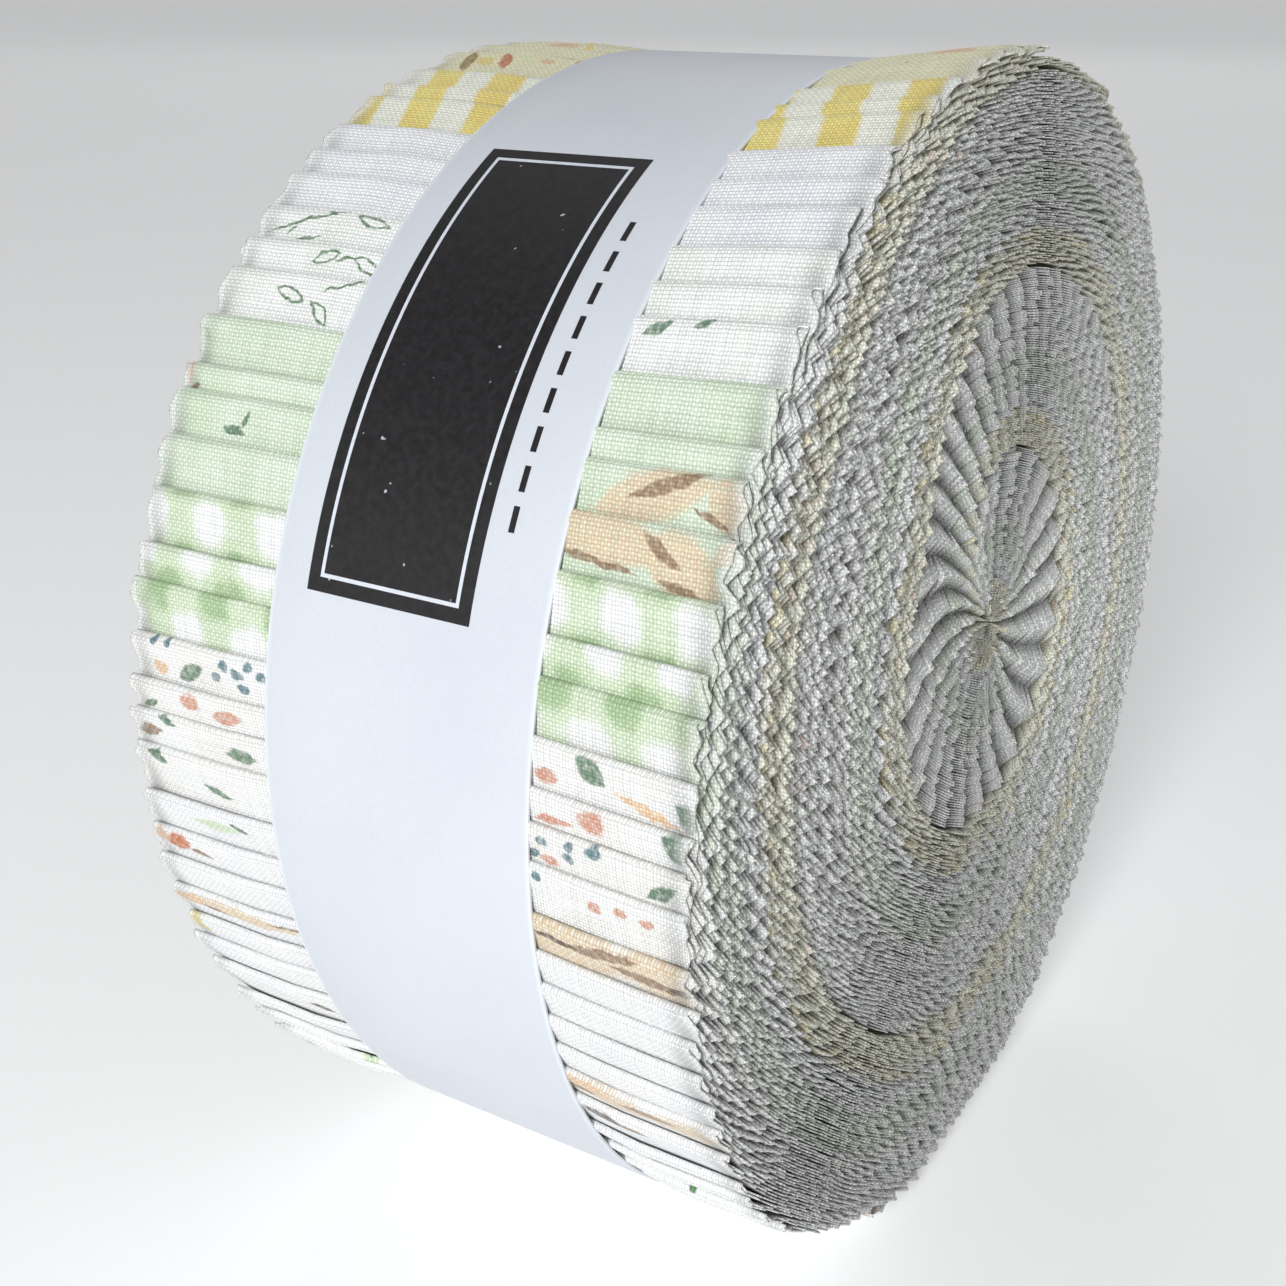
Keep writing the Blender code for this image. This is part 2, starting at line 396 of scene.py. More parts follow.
    # Nothing sinks into the floor that the roll stands on
    place = t.split(t.node("GeometryNodeInputPosition").outputs[0])
    above = t.join(place[0], place[1], t.math("MAXIMUM", place[2], CLEAR_OF_FLOOR))
    resting = t.node("GeometryNodeSetPosition", {"Geometry": spread, "Position": above}).outputs[0]
    stored = t.node("GeometryNodeStoreNamedAttribute", {
        "Geometry": resting, "Name": "cloth",
        "Value": t.join(t.carried("from_fold"), cut_x),
    }, data_type="FLOAT2", domain="CORNER").outputs[0]
    stored = t.node("GeometryNodeStoreNamedAttribute", {
        "Geometry": stored, "Name": "open", "Value": t.math("EXPONENT", t.times(depth, -1.0 / OPEN_DEPTH)),
    }, data_type="FLOAT", domain="POINT").outputs[0]
    real = t.node("GeometryNodeRealizeInstances", {"Geometry": stored}).outputs[0]
    finished = t.node("GeometryNodeSetMaterial", {"Geometry": real, "Material": given["Cloth"]}).outputs[0]
    t.node("NodeGroupOutput", {"Geometry": finished})
    return tree


def set_inputs(modifier, **values):
    for item in modifier.node_group.interface.items_tree:
        if item.item_type == "SOCKET" and item.in_out == "INPUT":
            key = item.name.lower().replace(" ", "_")
            if key in values:
                modifier[item.identifier] = values[key]


def plain_mesh(piece, keep=()):
    """Takes the modifiers' result as the piece's own mesh, with only the attributes its finish reads."""
    graph = bpy.context.evaluated_depsgraph_get()
    mesh = bpy.data.meshes.new_from_object(piece.evaluated_get(graph), depsgraph=graph)
    piece.modifiers.clear()
    piece.data = mesh
    for name in [a.name for a in mesh.attributes]:
        found = mesh.attributes.get(name)
        if found and not found.is_required and not name.startswith(".") and name not in keep:
            if name not in ("sharp_face", "material_index", "position"):
                mesh.attributes.remove(found)
    mesh.name = piece.name


# ---------------------------------------------------------------------------------------------
# The printed cottons
# Plain-weave quilting cotton, printed on one side. Each strip is another cut of the collection:
# small florals, two checks, a leafy line print, tone-on-tone greens and plain whites.
# ---------------------------------------------------------------------------------------------

THREAD = 0.00034
MM = 0.001


def hand_mixed(*srgb):
    """A colour given as it looks on a swatch card, 0 to 255, turned into light values."""
    share = [c / 255 for c in srgb]
    return tuple(c / 12.92 if c <= 0.04045 else ((c + 0.055) / 1.055) ** 2.4 for c in share) + (1.0,)


def sockets(tree, inputs, outputs):
    named_inputs(tree, inputs)
    for name, kind in outputs:
        tree.interface.new_socket(name, in_out="OUTPUT", socket_type=kind)


def new_finish(name):
    finish = bpy.data.materials.new(name)
    finish.use_nodes = True
    return finish, Tree(finish.node_tree), finish.node_tree.nodes["Principled BSDF"]


def grain_on(t, shader, height, strength, distance):
    """Lets a height stand up a little from the surface."""
    made = t.node("ShaderNodeBump", {"Height": height, "Strength": strength, "Distance": distance})
    t.put(shader.inputs["Normal"], made.outputs[0])


def mixed(t, share, first, second, blend="MIX"):
    made = t.node("ShaderNodeMix", data_type="RGBA", blend_type=blend)
    t.put(made.inputs[0], share)
    t.put(made.inputs[6], first)
    t.put(made.inputs[7], second)
    return made.outputs[2]


def woven_cotton_group():
    """Plain weave over a print: threads over and under with painted shade and highlight, slubs, a paler back,
    a frayed cut edge and painted shade between the teeth.
    """
    tree = bpy.data.node_groups.new("woven_cotton", "ShaderNodeTree")
    sockets(tree, [("Cloth", "NodeSocketVector", None), ("Print", "NodeSocketColor", (0.8, 0.8, 0.8, 1)),
                   ("Back", "NodeSocketFloat", 0.0), ("Thread", "NodeSocketFloat", THREAD),
                   ("Half Width", "NodeSocketFloat", CLOTH_WIDTH / 2), ("Open", "NodeSocketFloat", 0.0)],
            [("Colour", "NodeSocketColor"), ("Height", "NodeSocketFloat"), ("Roughness", "NodeSocketFloat")])
    t = Tree(tree)
    given = t.node("NodeGroupInput").outputs
    slub_where = t.vector("MULTIPLY", given["Cloth"], (900.0, 900.0, 1.0))
    wobble = t.noise(slub_where, 1.0, 1.0, output="Color")
    wobble = t.vector("SCALE", t.vector("SUBTRACT", wobble, (0.5, 0.5, 0.5)), scale=0.00018)
    place = t.vector("ADD", given["Cloth"], wobble)
    place = t.vector("SCALE", place, scale=t.math("DIVIDE", pi, given["Thread"]))
    split = t.split(place)
    cross = t.times(t.math("SINE", split[0]), t.math("SINE", split[1]))
    over = t.math("POWER", t.math("ABSOLUTE", cross), 0.55)
    warp = t.math("MAXIMUM", cross, 0.0)
    streak = t.noise(t.vector("MULTIPLY", given["Cloth"], (120.0, 2600.0, 1.0)), 1.0, 2.0)
    streak_2 = t.noise(t.vector("MULTIPLY", given["Cloth"], (2600.0, 120.0, 1.0)), 1.0, 2.0)
    uneven = t.minus(t.plus(streak, streak_2), 1.0)
    fuzz = t.noise(t.vector("SCALE", given["Cloth"], scale=5200.0), 1.0, 3.0, roughness=0.7)
    edge_gap = t.minus(given["Half Width"], t.math("ABSOLUTE", t.split(given["Cloth"])[1]))
    frayed = t.ramp(edge_gap, 0.0026, 0.0004)

    # Painted shade: darker towards the roots of the pinked teeth, deep in the end face between the layers,
    # and lifted where the outermost edges are open to the light.
    painted_root_shade = t.ramp(edge_gap, 0.0003, 0.0017, 1.0, 0.36)
    painted_root_shade = t.plus(t.times(painted_root_shade, t.ramp(edge_gap, 0.0040, 0.0018)), t.ramp(edge_gap, 0.0018, 0.0040))
    painted_root_shade = t.plus(t.times(painted_root_shade, t.minus(1.0, given["Open"])), given["Open"])
    # Painted shade and highlight of the weave: darker in the gaps between threads, lighter on the threads
    # that lie over and most on the warp. The streaks and the fuzz at the frayed edge are uneven thread.
    painted_weave_shade_and_streaks = t.plus(0.72, t.times(over, 0.30))
    painted_weave_shade_and_streaks = t.plus(painted_weave_shade_and_streaks, t.times(warp, 0.30))
    painted_weave_shade_and_streaks = t.plus(painted_weave_shade_and_streaks, t.times(uneven, 0.30))
    painted_weave_shade_and_streaks = t.plus(painted_weave_shade_and_streaks, t.times(t.times(t.minus(fuzz, 0.5), frayed), 0.7))
    pale = t.times(t.math("MAXIMUM", given["Back"], 0.0), 0.6)
    pale = t.math("MAXIMUM", pale, t.times(frayed, 0.6))
    colour = mixed(t, pale, given["Print"], hand_mixed(238, 239, 235))
    colour = mixed(t, 1.0, colour, t.join(painted_weave_shade_and_streaks, painted_weave_shade_and_streaks, painted_weave_shade_and_streaks), "MULTIPLY")
    colour = mixed(t, 1.0, colour, t.join(painted_root_shade, painted_root_shade, painted_root_shade), "MULTIPLY")
    height = t.plus(t.plus(over, t.times(warp, 0.35)), t.times(uneven, 0.5))
    height = t.plus(height, t.times(t.times(fuzz, frayed), 1.6))
    rough = t.minus(0.82, t.times(over, 0.16))
    t.node("NodeGroupOutput", {"Colour": colour, "Height": height, "Roughness": rough})
    return tree


def blot_group():
    """Mask of one printed mark: an oval, pointed at both ends as Leaf goes to 1, filled or outlined."""
    tree = bpy.data.node_groups.new("printed_mark", "ShaderNodeTree")
    sockets(tree, [("Cloth", "NodeSocketVector", None), ("At", "NodeSocketVector", None),
                   ("Half Length", "NodeSocketFloat", 0.002), ("Half Width", "NodeSocketFloat", 0.001),
                   ("Turn", "NodeSocketFloat", 0.0), ("Leaf", "NodeSocketFloat", 0.0),
                   ("Hollow", "NodeSocketFloat", 0.0), ("Soft", "NodeSocketFloat", 0.25)],
            [("Mask", "NodeSocketFloat")])
    t = Tree(tree)
    given = t.node("NodeGroupInput").outputs
    wavy = t.noise(given["Cloth"], 700.0, 2.0, output="Color")
    wavy = t.vector("SCALE", t.vector("SUBTRACT", wavy, (0.5, 0.5, 0.5)), scale=0.0009)
    moved = t.vector("SUBTRACT", t.vector("ADD", given["Cloth"], wavy), given["At"])
    turned = t.node("ShaderNodeVectorRotate", {"Vector": moved, "Angle": given["Turn"]},
                    rotation_type="Z_AXIS")
    split = t.split(turned.outputs[0])
    # y runs along the mark and x across it
    lengthwise = t.math("DIVIDE", split[1], given["Half Length"])
    crosswise = t.math("DIVIDE", split[0], given["Half Width"])
    square = t.times(lengthwise, lengthwise)
    oval = t.math("SQRT", t.plus(square, t.times(crosswise, crosswise)))
    pointed = t.plus(square, t.math("ABSOLUTE", crosswise))
    out = t.plus(t.times(oval, t.minus(1.0, given["Leaf"])), t.times(pointed, given["Leaf"]))
    filled = t.ramp(out, t.plus(1.0, given["Soft"]), t.minus(1.0, given["Soft"]))
    ring = t.ramp(t.math("ABSOLUTE", t.minus(out, 0.9)), 0.34, 0.10)
    mask = t.plus(t.times(filled, t.minus(1.0, given["Hollow"])), t.times(ring, given["Hollow"]))
    blotchy = t.noise(given["Cloth"], 1500.0, 2.0)
    mask = t.times(mask, t.ramp(blotchy, 0.22, 0.62, 0.55, 1.0))
    t.node("NodeGroupOutput", {"Mask": mask})
    return tree


weave = woven_cotton_group()
mark = blot_group()

CREAM, OLIVE, RUST = hand_mixed(234, 230, 192), hand_mixed(150, 120, 50), hand_mixed(196, 112, 62)
YELLOW, GOLD, SOFT_WHITE = hand_mixed(236, 220, 134), hand_mixed(232, 210, 122), hand_mixed(238, 238, 224)
COOL_WHITE, WHITE = hand_mixed(232, 232, 236), hand_mixed(240, 241, 239)
SPRIG_GREEN, PALE_GREEN, LEAF = hand_mixed(96, 128, 92), hand_mixed(216, 228, 208), hand_mixed(104, 132, 108)
CHECK_LIGHT, CHECK_DARK = hand_mixed(207, 222, 192), hand_mixed(168, 192, 150)
TERRACOTTA, TEAL, PEACH = hand_mixed(208, 154, 132), hand_mixed(104, 132, 138), hand_mixed(228, 192, 156)
TAN, BROWN, SPECK = hand_mixed(222, 202, 172), hand_mixed(152, 126, 102), hand_mixed(92, 74, 58)


def waves(t, along, period, shift, soft):
    """0 and 1 in turn along one way of the cloth, one of each in a period, with soft edges."""
    turn = t.times(t.minus(along, shift * MM), tau / (period * MM))
    return t.ramp(t.math("COSINE", turn), -soft, soft)


def yellow_check(t, cloth, u, v, number):
    columns = waves(t, t.minus(v, t.times(u, 0.18)), 7.7,
                    {7: 20.3, 8: 21.3, 9: 22.8}[number], 0.30)
    rows = waves(t, u, 15.0, {7: 2.0, 8: 1.6, 9: 1.4}[number], 0.22)
    patchy = t.ramp(t.noise(cloth, 240.0, 2.0), 0.35, 0.65)
    yellow = mixed(t, patchy, YELLOW, GOLD)
    colour = mixed(t, t.times(columns, t.plus(0.3, t.times(rows, 0.7))),
                   SOFT_WHITE, yellow)
    return colour


def green_check(t, cloth, u, v, number):
    columns = waves(t, t.minus(v, t.times(u, 0.1)), 7.4,
                    {20: 17.6, 21: 17.2, 22: 16.4}[number], 0.95)
    rows = waves(t, u, 7.4, {20: -1.2, 21: 3.6, 22: 0.6}[number], 0.95)
    wash = t.noise(cloth, 420.0, 3.0)
    both = t.plus(t.times(t.plus(columns, rows), 0.5),
                  t.times(t.minus(wash, 0.5), 0.7))
    colour = mixed(t, t.ramp(both, 0.05, 0.55), WHITE, CHECK_LIGHT)
    return mixed(t, t.ramp(both, 0.62, 1.0), colour, CHECK_DARK)


def washed(base, second, amount=0.5, scale=160.0):
    def colour(t, cloth, u, v, number):
        where = t.vector("ADD", cloth, (0.37 * number, 0.0, 0.0))
        noise = t.noise(where, scale, 3.0)
        return mixed(t, t.times(t.ramp(noise, 0.35, 0.7), amount), base, second)
    return colour


def scattered(base, kinds):
    """Marks strewn over a ground. Each kind: ink, spacing in mm, size in spacings, share of cells filled."""
    def colour(t, cloth, u, v, number):
        result = base
        for order, (ink, spacing, size, chance) in enumerate(kinds):
            where = t.vector("ADD", cloth, (0.31 * number + 0.7 * order, 0.13 * order, 0.0))
            wavy = t.noise(where, 500.0, 1.0, output="Color")
            where = t.vector("ADD", where, t.vector("SCALE", wavy, scale=0.0016))
            cells = t.node("ShaderNodeTexVoronoi",
                           {"Vector": where, "Scale": 1000.0 / spacing, "Randomness": 0.9},
                           voronoi_dimensions="2D")
            pick = t.split(cells.outputs["Color"])
            mask = t.times(t.ramp(cells.outputs["Distance"], size * 1.25, size * 0.8),
                          t.math("LESS_THAN", pick[0], chance))
            result = mixed(t, mask, result, ink)
        return result
    return colour


floral = scattered(WHITE, [(CHECK_LIGHT, 9.0, 0.20, 0.35), (TERRACOTTA, 6.5, 0.20, 0.30),
                           (LEAF, 5.5, 0.16, 0.35), (TEAL, 1.9, 0.28, 0.08)])
sprigged = scattered(WHITE, [(CHECK_LIGHT, 7.0, 0.16, 0.5), (SPRIG_GREEN, 5.0, 0.08, 0.5)])

# The ground of each strip, counted from the one that reaches furthest round
grounds = {}
for count in range(1, 7):
    grounds[count] = washed(CREAM, hand_mixed(230, 224, 190), 0.6)
for count in range(7, 10):
    grounds[count] = yellow_check
for count in range(10, 13):
    grounds[count] = washed(COOL_WHITE, WHITE, 0.6)
for count in range(13, 16):
    grounds[count] = washed(WHITE, hand_mixed(222, 228, 216), 0.5)
for count in range(16, 20):
    grounds[count] = washed(PALE_GREEN, hand_mixed(202, 218, 190), 0.7)
for count in range(20, 23):
    grounds[count] = green_check
for count in range(23, 27):
    grounds[count] = washed(WHITE, hand_mixed(232, 226, 216), 0.5)
for count in range(27, 41):
    grounds[count] = washed(WHITE, COOL_WHITE, 0.6)
grounds[4] = grounds[2] = scattered(CREAM, [(PEACH, 9.0, 0.24, 0.4), (CHECK_LIGHT, 7.0, 0.2, 0.4)])
grounds[36] = sprigged
grounds[38] = floral
grounds[40] = sprigged

# Printed marks near the fold of a strip: ink, how far below the fold and how far across in mm,
# half length, half width, turn in degrees (0 lies across the strip), leaf shape, outline only
marks = {
    3: [(GOLD, 3.0, -20.5, 4.0, 0.5, 60, 1, 0)],
    4: [(GOLD, 2.0, -18.5, 3.0, 0.4, 50, 1, 0), (CHECK_DARK, 3.0, 20.0, 2.2, 0.7, 20, 1, 0)],
    6: [(OLIVE, 3.2, -27.0, 2.6, 0.8, 70, 1, 0), (RUST, 2.6, -22.4, 2.2, 0.7, 60, 1, 0),
        (RUST, 2.6, -14.0, 2.0, 0.5, 80, 1, 0), (GOLD, 3.0, -24.8, 1.6, 0.8, 30, 1, 0),
        (RUST, 0.5, 22.4, 0.8, 0.3, 70, 1, 0), (PEACH, 2.0, -17.5, 1.0, 0.6, 10, 1, 0)],
    13: [(SPRIG_GREEN, 1.5, -25.2, 5.6, 0.16, -17, 1, 0), (SPRIG_GREEN, 1.0, -17.4, 1.9, 0.6, 8, 1, 1),
         (LEAF, 0.5, -22.4, 0.7, 0.2, 20, 1, 0), (LEAF, 2.6, -26.6, 0.8, 0.2, -40, 1, 0),
         (SPRIG_GREEN, 3.2, -24.2, 1.6, 0.15, -10, 1, 0)],
    14: [(SPRIG_GREEN, 1.6, -20.3, 1.6, 0.55, -20, 1, 1), (SPRIG_GREEN, 1.8, -15.6, 1.7, 0.6, 20, 1, 1),
         (SPRIG_GREEN, 1.4, -17.8, 1.6, 0.12, -15, 1, 0)],
    15: [(SPRIG_GREEN, 0.8, -16.4, 2.6, 0.15, -22, 1, 0), (SPRIG_GREEN, 2.4, -22.2, 1.9, 0.6, 15, 1, 1),
         (SPRIG_GREEN, 3.8, -18.2, 1.6, 0.6, 40, 1, 1), (LEAF, 1.3, 17.0, 1.5, 0.55, -24, 1, 0),
         (LEAF, 0.7, 21.6, 1.1, 0.4, -20, 1, 0)],
    16: [(CHECK_DARK, 2.0, -30.8, 1.2, 0.6, 30, 1, 0)],
    17: [(TERRACOTTA, 1.2, -31.2, 1.5, 0.9, -40, 1, 0), (BROWN, 2.2, -29.6, 0.7, 0.25, -20, 1, 0)],
    18: [(LEAF, 3.1, -23.0, 1.5, 0.45, 6, 1, 0), (LEAF, 2.0, -21.6, 0.9, 0.32, -60, 1, 0),
         (TAN, 2.3, 22.0, 6.2, 2.0, -16, 0.9, 0), (BROWN, 1.3, 23.4, 4.2, 0.55, -18, 1, 0),
         (TAN, 2.2, 29.6, 2.6, 2.0, 30, 0.8, 0), (BROWN, 3.4, 28.0, 2.0, 0.34, 20, 1, 0)],
    19: [(TAN, 1.4, 17.6, 7.0, 2.4, 8, 0.6, 0), (BROWN, 3.6, 17.4, 4.8, 0.32, 6, 1, 0),
         (TAN, 2.9, 26.4, 4.4, 2.5, 20, 0.8, 0), (BROWN, 2.0, 24.4, 2.4, 0.55, 30, 1, 0),
         (BROWN, 4.5, 26.4, 2.2, 0.40, 8, 1, 0), (TAN, 1.2, 31.0, 2.0, 0.9, -30, 1, 0)],
    23: [(TEAL, 0.5, -28.0, 0.45, 0.4, 0, 0, 0), (TEAL, 0.4, -26.2, 0.45, 0.4, 0, 0, 0),
         (PEACH, 2.9, -27.6, 1.0, 0.7, 20, 0, 0), (LEAF, 2.7, -23.6, 1.9, 0.75, -28, 1, 0),
         (TEAL, 1.2, -19.2, 0.55, 0.5, 0, 0, 0), (TEAL, 1.8, -17.7, 0.7, 0.5, 20, 0, 0),
         (TEAL, 2.4, -20.2, 0.6, 0.5, 0, 0, 0), (TEAL, 0.8, -16.4, 0.6, 0.5, 0, 0, 0),
         (TEAL, 3.0, -17.2, 0.7, 0.4, 0, 0, 0), (TEAL, 1.4, -15.0, 0.6, 0.5, 0, 0, 0),
         (LEAF, 1.3, 20.8, 1.6, 1.0, 30, 1, 0), (TERRACOTTA, 3.0, 16.0, 1.2, 0.7, 0, 0, 0),
         (PEACH, 3.3, 26.4, 3.4, 0.5, 14, 1, 0), (LEAF, 2.8, 30.4, 1.6, 1.0, 40, 1, 0)],
    24: [(TERRACOTTA, 1.1, -23.2, 1.1, 0.85, 0, 0, 0), (TERRACOTTA, 1.8, -18.8, 1.7, 0.7, -6, 0, 0),
         (LEAF, 2.3, -28.8, 1.4, 0.4, -20, 1, 0), (TERRACOTTA, 1.2, 21.4, 1.3, 0.95, 0, 0, 0),
         (TERRACOTTA, 2.3, 17.2, 2.2, 0.45, -6, 1, 0), (LEAF, 1.2, 30.2, 1.6, 1.2, 30, 1, 0)],
    25: [(BROWN, 1.9, -29.0, 2.0, 0.65, -10, 1, 0), (LEAF, 0.5, -26.0, 1.3, 0.35, 10, 1, 0),
         (LEAF, 2.1, -17.2, 1.8, 0.75, 4, 1, 0), (TEAL, 1.2, 16.4, 0.65, 0.5, 0, 0, 0),
         (TEAL, 0.8, 19.4, 0.6, 0.5, 0, 0, 0), (TEAL, 0.6, 21.8, 0.9, 0.5, 0, 0, 0),
         (TEAL, 1.9, 19.2, 0.6, 0.5, 0, 0, 0), (TEAL, 2.6, 15.4, 0.6, 0.5, 0, 0, 0),
         (LEAF, 2.2, 28.6, 1.9, 0.7, -30, 1, 0), (TERRACOTTA, 2.9, 17.0, 1.0, 0.5, 0, 0, 0)],
    26: [(TERRACOTTA, 1.8, 21.6, 0.7, 0.55, 0, 0, 0), (TERRACOTTA, 1.4, 24.4, 0.7, 0.5, 0, 0, 0),
         (TERRACOTTA, 1.6, 27.2, 0.7, 0.5, 0, 0, 0), (TEAL, 1.0, 15.6, 0.6, 0.5, 0, 0, 0),
         (LEAF, 3.0, -21.0, 1.8, 0.4, 12, 1, 0), (LEAF, 0.8, -28.0, 1.4, 0.5, 20, 1, 0)],
    27: [(TAN, 1.8, 18.0, 7.0, 2.6, 0, 0, 0), (TAN, 1.6, 28.5, 5.0, 2.4, 0, 0, 0),
         (BROWN, 1.2, 22.0, 4.2, 0.55, -8, 1, 0), (BROWN, 2.4, 26.6, 4.0, 0.6, 5, 1, 0),
         (SPECK, 1.6, 17.0, 2.6, 0.35, 0, 1, 0),
         (SPECK, 2.3, 30.0, 1.8, 0.45, 0, 1, 0), (CHECK_LIGHT, 1.6, -21.5, 3.0, 0.7, 0, 1, 0),
         (LEAF, 1.2, -18.5, 1.2, 0.25, 20, 1, 0)],
    28: [(RUST, 1.2, -27.4, 2.0, 0.9, -12, 1, 0), (BROWN, 1.9, -24.6, 1.4, 0.4, 10, 1, 0),
         (PEACH, 0.8, -29.8, 1.4, 0.7, 0, 0, 0)],
    30: [(TAN, 1.2, -21.5, 7.0, 0.9, 4, 0.6, 0), (BROWN, 1.7, -26.0, 3.0, 0.3, 8, 1, 0),
         (BROWN, 1.0, -16.0, 2.4, 0.3, 0, 1, 0), (PEACH, 1.1, -28.6, 2.2, 0.7, 0, 0, 0)],
    31: [(YELLOW, 0.9, -30.8, 2.0, 1.1, -10, 0, 0), (GOLD, 1.6, -29.4, 1.2, 0.5, 0, 1, 0)],
    32: [(TAN, 1.8, 18.6, 6.0, 1.8, 0, 0, 0), (TAN, 2.0, 28.0, 5.0, 1.7, 0, 0, 0),
         (BROWN, 1.5, 23.6, 3.4, 0.7, 0, 1, 0), (BROWN, 2.4, 16.0, 1.8, 0.5, 0, 1, 0),
         (PEACH, 0.8, 17.0, 2.6, 0.5, 0, 0, 0)],
    33: [(SPECK, 1.7, 17.4, 2.4, 1.2, 0, 0, 0), (BROWN, 1.7, 20.6, 1.4, 0.7, 0, 0, 0),
         (SPECK, 2.6, -17.0, 1.5, 0.6, 20, 1, 0)],
    34: [(BROWN, 1.6, 27.0, 1.8, 0.5, 0, 1, 0), (CHECK_LIGHT, 1.8, 20.0, 2.4, 0.6, 0, 1, 0)],
}


def cotton(number):
    """The finish of one strip."""
    finish, t, shader = new_finish(f"printed_cotton_{number:02d}")
    cloth = t.node("ShaderNodeUVMap", uv_map="cloth").outputs[0]
    split = t.split(cloth)
    colour = grounds[number](t, cloth, split[0], split[1], number)
    for ink, below, across, half_length, half_width, turn, leaf, hollow in marks.get(number, []):
        made = t.node("ShaderNodeGroup", {
            "Cloth": cloth, "At": (below * MM, across * MM, 0), "Half Length": half_length * MM,
            "Half Width": half_width * MM, "Turn": radians(turn), "Leaf": leaf, "Hollow": hollow,
        }, node_tree=mark)
        colour = mixed(t, made.outputs["Mask"], colour, ink)
    woven = t.node("ShaderNodeGroup", {
        "Cloth": cloth, "Print": colour,
        "Back": t.node("ShaderNodeAttribute", attribute_name="side").outputs["Fac"],
        "Open": t.node("ShaderNodeAttribute", attribute_name="open").outputs["Fac"],
    }, node_tree=weave)
    t.put(shader.inputs["Base Color"], woven.outputs["Colour"])
    t.put(shader.inputs["Roughness"], woven.outputs["Roughness"])
    grain_on(t, shader, woven.outputs["Height"], 0.8, 0.00008)
    shader.inputs["Specular IOR Level"].default_value = 0.35
    shader.inputs["Sheen Weight"].default_value = 0.2
    shader.inputs["Sheen Roughness"].default_value = 0.4
    return finish


strip_tree = pinked_strip_tree()
jitter = np.random.default_rng(11)
SIDE_SHIFT = 0.00015  # how unevenly the strips are stacked, as a spread
for number in range(1, STRIPS + 1):
    piece = sleeve(f"cloth_{number:02d}", number)
    spread = piece.modifiers.new("pinked strip", "NODES")
    spread.node_group = strip_tree
    set_inputs(spread, strip_number=float(number), side_shift=float(jitter.normal(0, SIDE_SHIFT)),
               cloth=cotton(number))
    plain_mesh(piece, keep=("cloth", "side", "open"))
    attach(piece, "roll")
    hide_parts(f"strip_{number:02d}")

# ---------------------------------------------------------------------------------------------
# The paper band
# One strip of smooth white card, wrapped tight round the middle of the roll and glued where it laps
# at the back. Its edges are cut clean, and the cloth beside it stands slightly proud.
# ---------------------------------------------------------------------------------------------

BAND_LOW, BAND_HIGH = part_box("paper_band")
BAND_MIDDLE = (BAND_LOW[0] + BAND_HIGH[0]) / 2
BAND_HALF = (BAND_HIGH[0] - BAND_LOW[0]) / 2
CARD = 0.0003  # thickness of the card
BAND_CLEAR = 0.0001
LAP_FROM, LAP = 147.8, 22.5  # direction where the card starts, and how many degrees it laps over itself
LAP_RISE = CARD + 0.00005
RISES_FROM, RISES_OVER = 332.0, 24.0  # degrees along the card at which it climbs on to its own start
BAND_STEPS = 420


def band_point(angle, lift):
    """A point of the band's middle plane: lift is the height above the inner face of the card."""
    a = np.radians(angle)
    reach = outline(angle) + BAND_CLEAR + lift
    return np.stack([np.zeros_like(a), WIND_BACK - reach * np.cos(a), WIND_POINT[2] + reach * np.sin(a)], -1)


def strip_mesh(name, rings):
    """A closed band from rings of points, one ring for each step along it."""
    rings = np.asarray(rings, float)
    count, ring = rings.shape[:2]
    corner = np.arange(count * ring).reshape(count, ring)
    turn = np.roll(np.arange(ring), -1)
    quads = np.stack([corner[:-1], corner[:-1][:, turn], corner[1:][:, turn], corner[1:]], -1).reshape(-1, 4)
    faces = [tuple(q) for q in quads.tolist()]
    faces += [tuple(corner[0, ::-1].tolist()), tuple(corner[-1].tolist())]
    mesh = bpy.data.meshes.new(name)
    mesh.from_pydata(rings.reshape(-1, 3).tolist(), [], faces)
    mesh.update()
    return mesh


def make_band():
    """The card from its start, once round and up over its own start, with rounded edges."""
    run = np.linspace(0.0, 360.0 + LAP, BAND_STEPS)
    angle = LAP_FROM + run
    rise = np.clip((run - RISES_FROM) / RISES_OVER, 0, 1)
    rise = LAP_RISE * rise * rise * (3 - 2 * rise)
    inner, outer = band_point(angle, rise), band_point(angle, rise + CARD)
    rows = np.array([-1, -0.985, -0.7, -0.35, 0, 0.35, 0.7, 0.985, 1]) * BAND_HALF
    round_off = np.where(np.abs(rows) > 0.99 * BAND_HALF, 0.00005, 0.0)
    rings = []
    for step in range(BAND_STEPS):
        way = outer[step] - inner[step]
        way = way / np.linalg.norm(way)
        across = np.stack([BAND_MIDDLE + rows, 0 * rows, 0 * rows], -1)
        top = outer[step] + across - way * round_off[:, None]
        under = inner[step] + across + way * round_off[:, None]
        rings.append(np.concatenate([under, top[::-1]]))
    mesh = strip_mesh("band_card", rings)
    along = np.concatenate([[0], np.cumsum(np.linalg.norm(np.diff(outer, axis=0), axis=1))])
    layer = mesh.uv_layers.new(name="card")
    index = np.empty(len(mesh.loops), int)
    mesh.loops.foreach_get("vertex_index", index)
    places = np.array([v.co.x - BAND_MIDDLE for v in mesh.vertices])
    flat = np.stack([along[index // (2 * len(rows))], places[index]], -1)
    layer.data.foreach_set("uv", flat.ravel())
    mesh.shade_smooth()
    mesh.set_sharp_from_angle(angle=radians(50))
    piece = bpy.data.objects.new("band_card", mesh)
    bpy.context.scene.collection.objects.link(piece)
    return piece


band_card = make_band()


